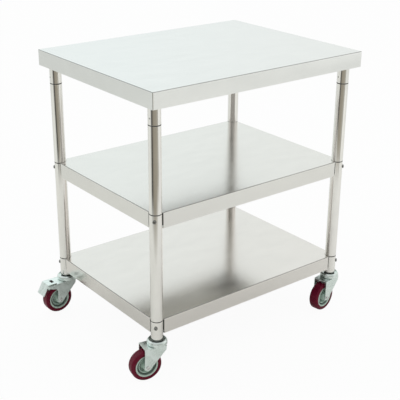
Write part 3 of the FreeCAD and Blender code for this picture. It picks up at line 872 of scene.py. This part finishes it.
class CART_OT_wheels(bpy.types.Operator):
    """Model the moulded hubs and the maroon treads"""

    bl_idname = "cart.wheels"
    bl_label = "Wheels"

    # the raised ring on each side of the web, from one radius to another
    ring_start, ring_end = 0.0225, 0.0257
    sides = 128

    def execute(self, context):
        look = context.scene.cart_wheels
        colours = context.scene.cart_colours
        tread_material = tread_finish("cast_tread", colours.tread)
        hub_material = moulded_finish("hub_plastic", colours.hub, rough=0.38, grain=0.00003)
        # painted shade for the hub's grooves: the hub's colour, darkened
        groove_shade = shade(colours.hub, 0.42)
        groove_shade_material = moulded_finish("hub_groove", groove_shade, rough=0.5, grain=0.00003)
        low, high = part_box("front_left_tyre")
        tread = self.tread(look, (high[2] - low[2]) / 2)
        for corner, item in repeat(tread, "tread", axle_places()).items():
            dress(item, tread_material, corner + "_wheel", "maroon_tread", corner + "_tyre")
        for corner, item in repeat(self.hub(look), "hub", axle_places()).items():
            dress(item, hub_material, corner + "_wheel", "hub_plastic", corner + "_wheel_hub")
            self.darken_grooves(item, axle_places()[corner], look, groove_shade_material)
        return {"FINISHED"}

    def darken_grooves(self, item, place, look, material):
        """Give the two deep rings of a hub a darker colour: painted shade in the grooves."""
        item.data.materials.append(material)
        edge = 0.0001
        inner = (look.boss_radius + 0.0015, self.ring_start + edge)
        outer = (self.ring_end - edge, look.rim_radius - 0.0057)
        back = place.inverted()
        for face in item.data.polygons:
            centre = back @ face.center
            radius = math.hypot(centre.x, centre.y)
            face.material_index = int(any(low < radius < high for low, high in (inner, outer)))

    @staticmethod
    def mirrored(side):
        """The profile of one side of a wheel, followed by the same of its other side."""
        return side + [(radius, -height) for radius, height in reversed(side)]

    def tread(self, look, radius):
        """The tread, with a step beside the rim, round shoulders and a fine mould line."""
        rim, half, shoulder = look.rim_radius, look.tread_half, look.shoulder
        step_low, step_high, mould_line = half - 0.0016, half - 0.0004, 0.00015
        side = [(rim, step_low), (rim + 0.0018, step_low)]
        side += [(rim + 0.0026, step_high), (rim + 0.0034, half)]
        side += arc_points(radius - shoulder, half - shoulder, shoulder, 80, 0, 7)
        side += [(radius, 0.0004), (radius - mould_line, 0.0002)]
        item = turned("tread", self.mirrored(side), self.sides, closed=True)
        smooth(item, angle=40)
        return item

    def hub(self, look):
        """The hub: boss, web with a raised ring between two grooves, and rim."""
        bore, boss_radius, edge = look.bore, look.boss_radius, look.rim_radius
        rim, web, boss = look.rim_half, look.web_half, look.boss_half
        dip, inner_floor, outer_floor = boss - 0.0008, web - 0.0016, web - 0.0010
        ring_low, ring_high = web + 0.0066, web + 0.0072
        side = [(bore, boss - 0.001), (bore + 0.0008, boss)]
        side += [(bore + 0.0040, boss), (bore + 0.0043, dip)]
        side += [(bore + 0.0052, dip), (bore + 0.0055, boss)]
        side += [(boss_radius - 0.001, boss), (boss_radius, boss - 0.001)]
        side += [(boss_radius + 0.0006, web), (boss_radius + 0.0022, inner_floor)]
        side += [(self.ring_start, inner_floor), (self.ring_start + 0.0004, ring_low)]
        side += [(self.ring_start + 0.0009, ring_high), (self.ring_end - 0.0009, ring_high)]
        side += [(self.ring_end - 0.0004, ring_low), (self.ring_end, outer_floor)]
        side += [(edge - 0.0066, outer_floor), (edge - 0.0062, web)]
        side += [(edge - 0.0054, rim - 0.0016), (edge - 0.0050, rim - 0.0008)]
        side += [(edge - 0.0008, rim), (edge, rim - 0.0006)]
        item = turned("hub", self.mirrored(side), self.sides, closed=True)
        smooth(item)
        return item


class CART_OT_stage(bpy.types.Operator):
    """Set the camera, the floor and the studio light"""

    bl_idname = "cart.stage"
    bl_label = "Stage"

    def execute(self, context):
        self.camera(context)
        self.floor()
        self.world(context)
        self.lamps()
        context.scene.view_settings.view_transform = "Standard"
        return {"FINISHED"}

    @staticmethod
    def camera(context):
        """The camera of the photograph, as fitted to its edges, legs and wheels."""
        place = Vector((-1.7331, -2.2046, 1.5644))
        yaw, pitch, roll = (math.radians(turn) for turn in (38.238, 22.485, 0.495))
        flat = math.cos(pitch)
        ahead = Vector((math.sin(yaw) * flat, math.cos(yaw) * flat, -math.sin(pitch)))
        level = Vector((math.cos(yaw), -math.sin(yaw), 0))
        upward = level.cross(ahead)
        right = level * math.cos(roll) + upward * math.sin(roll)
        above = upward * math.cos(roll) - level * math.sin(roll)
        data = bpy.data.cameras.new("photo_camera")
        data.sensor_width = 36
        data.lens = 80.53
        data.clip_start = 0.05
        item = bpy.data.objects.new("photo_camera", data)
        turn = Matrix((right, above, -ahead)).transposed().to_4x4()
        item.matrix_world = Matrix.Translation(place) @ turn
        context.scene.collection.objects.link(item)
        context.scene.camera = item

    @staticmethod
    def studio(f):
        """White paper under, beside and behind the cart, and the duller floor of the room before
        it, whose dark edge shows as a line in the polished tubes."""
        where = f.place()
        ahead = f.along(where, TO_CAMERA)
        aside = f.along(where, TO_RIGHT)
        distance = f.node("ShaderNodeVectorMath", {"operation": "LENGTH"}, where, out=1)
        mottle = f.noise(where, 3, 3)
        round_cart = aside.sum("ARCTAN2", aside, ahead) / math.tau + 0.5
        # tones round the cart, by degrees to the right of the way to the camera
        tones = [
            (-150, (0.98, 0.98, 0.97)),
            (-104, (0.91, 0.91, 0.88)),
            (-90, (0.95, 0.95, 0.92)),
            (-62, (0.95, 0.95, 0.92)),
            (-52, (0.56, 0.55, 0.52)),
            (-45, (0.34, 0.33, 0.30)),
            (-43, (0.0, 0.0, 0.0)),
            (-34, (0.0, 0.0, 0.0)),
            (-31, (0.16, 0.145, 0.115)),
            (-12, (0.37, 0.33, 0.265)),
            (34, (0.43, 0.39, 0.32)),
            (44, (0.60, 0.57, 0.51)),
            (52, (0.30, 0.28, 0.25)),
            (57, (0.98, 0.97, 0.94)),
            (64, (0.97, 0.96, 0.93)),
            (150, (1.0, 0.99, 0.97)),
        ]
        stops = [(turn / 360 + 0.5, tone) for turn, tone in tones]
        room = f.node("ShaderNodeValToRGB", {"stops": stops}, Fac=round_cart)
        left_paper, right_paper = (0.95, 0.945, 0.91), (1.0, 0.99, 0.97)
        paper = f.blend((aside + mottle * 0.3 + 0.5) / 1.2, left_paper, right_paper)
        # where the paper gives way to the room's floor, before the cart and all round it
        before = (ahead - 1.2) / 0.55
        around = (distance - 1.5) / 0.4
        return f.blend(distance.sum("MAXIMUM", before, around), paper, room)

    def floor(self):
        """A floor just under the wheels, white to the camera but for the cart's shadow."""
        drop = 0.0004
        clear()
        bpy.ops.mesh.primitive_plane_add(size=60, location=(0, 0, -drop))
        item = bpy.context.object
        item.name = "studio_floor"
        material, f = new_finish("studio_floor")
        ray = f.make("ShaderNodeLightPath", {})
        seen = Flow(f, ray.outputs["Is Camera Ray"])
        glossy = Flow(f, ray.outputs["Is Glossy Ray"])
        through = Flow(f, ray.outputs["Is Transmission Ray"])
        floor_colour = f.blend(seen, self.studio(f), (0.93, 0.93, 0.93))
        paint = f.node("ShaderNodeBsdfDiffuse", {}, Color=floor_colour)
        white = f.node("ShaderNodeEmission", {}, Color=(1.0, 1.0, 1.0), Strength=1.0)
        camera_glow, mirror_glow = 0.95, 0.04
        glow = seen * camera_glow + (glossy + through) * mirror_glow
        mixed = f.node("ShaderNodeMixShader", {}, glow, paint, white)
        f.tree.links.new(mixed.socket, f.output.inputs["Surface"])
        item.data.materials.append(material)

    @staticmethod
    def world(context):
        """White to the camera. Metal sees a bright tent behind and above, a dim room in front."""
        world = bpy.data.worlds.new("studio")
        context.scene.world = world
        f = Finish(world, "ShaderNodeOutputWorld")
        ray = f.make("ShaderNodeLightPath", {})
        seen = Flow(f, ray.outputs["Is Camera Ray"])
        way = f.node("ShaderNodeTexCoord", {}, out="Generated")
        parts = f.make("ShaderNodeSeparateXYZ", {}, way)
        height = Flow(f, parts.outputs["Z"])
        ahead = f.along(way, TO_CAMERA)
        aside = f.along(way, TO_RIGHT)
        tent = [
            (0.0, (0.80, 0.80, 0.79)),
            (0.2, (0.935, 1.0, 1.0)),
            (0.6, (0.935, 1.0, 1.0)),
            (0.9, (0.84, 0.88, 0.88)),
        ]
        room = [(0.0, (0.34, 0.335, 0.32)), (0.5, (0.44, 0.44, 0.43)), (0.9, (0.82, 0.85, 0.85))]
        bright = f.node("ShaderNodeValToRGB", {"stops": tent}, Fac=height)
        bright = f.blend(aside * 2.5 + 0.25, bright, (0.90, 0.915, 0.895))
        dim = f.node("ShaderNodeValToRGB", {"stops": room}, Fac=height)
        reflected = f.blend((ahead + 0.55) / 0.9, bright, dim)
        shown = f.blend(seen, reflected, (1.0, 1.0, 1.0))
        light = f.node("ShaderNodeBackground", {}, Color=shown, Strength=1.0)
        f.tree.links.new(light.socket, f.output.inputs["Surface"])

    def lamps(self):
        self.lamp("overhead_softbox", (0.4, 0.5, 3.2), (0, 0, 0.5), size=2.4, power=3.5)
        self.lamp("right_softbox", (1.75, -2.35, 0.95), (0.9, -1.1, 0), size=1.7, power=3.2)
        self.lamp("left_softbox", (-2.6, 1.2, 1.5), (-0.6, 0.2, 0.1), size=1.7, power=2.4)

    @staticmethod
    def lamp(name, place, target, size, power):
        data = bpy.data.lights.new(name, "AREA")
        data.shape = "SQUARE"
        data.size = size
        data.energy = power
        item = bpy.data.objects.new(name, data)
        ahead = (Vector(target) - Vector(place)).normalized()
        turn = ahead.to_track_quat("-Z", "Y").to_matrix().to_4x4()
        item.matrix_world = Matrix.Translation(place) @ turn
        item.visible_camera = False
        bpy.context.scene.collection.objects.link(item)


class CART_PT_panel(bpy.types.Panel):
    """The sizes and colours of the cart, and the steps that dress it"""

    bl_label = "Steel utility cart"
    bl_idname = "CART_PT_panel"
    bl_space_type = "VIEW_3D"
    bl_region_type = "UI"
    bl_category = "Cart"

    def draw(self, context):
        for title, group in GROUPS.items():
            box = self.layout.box()
            box.label(text=title)
            settings = getattr(context.scene, group[0])
            for name in group[1].__annotations__:
                box.prop(settings, name)
        for step in STEPS:
            self.layout.operator(step.bl_idname)


GROUPS = {
    "Legs": ("cart_legs", LegLook),
    "Fasteners": ("cart_fasteners", FastenerLook),
    "Wheels": ("cart_wheels", WheelLook),
    "Colours": ("cart_colours", CartColours),
}
STEPS = (
    CART_OT_stage,
    CART_OT_sheets,
    CART_OT_legs,
    CART_OT_fasteners,
    CART_OT_casters,
    CART_OT_wheels,
)


def register():
    for name, group in GROUPS.values():
        bpy.utils.register_class(group)
        setattr(bpy.types.Scene, name, PointerProperty(type=group))
    for step in STEPS:
        bpy.utils.register_class(step)
    bpy.utils.register_class(CART_PT_panel)


def unregister():
    bpy.utils.unregister_class(CART_PT_panel)
    for step in reversed(STEPS):
        bpy.utils.unregister_class(step)
    for name, group in GROUPS.values():
        delattr(bpy.types.Scene, name)
        bpy.utils.unregister_class(group)


def main():
    register()
    bpy.ops.cart.stage()
    bpy.ops.cart.sheets()
    bpy.ops.cart.legs()
    bpy.ops.cart.fasteners()
    bpy.ops.cart.casters()
    bpy.ops.cart.wheels()
    clear()


if __name__ == "__main__":
    main()
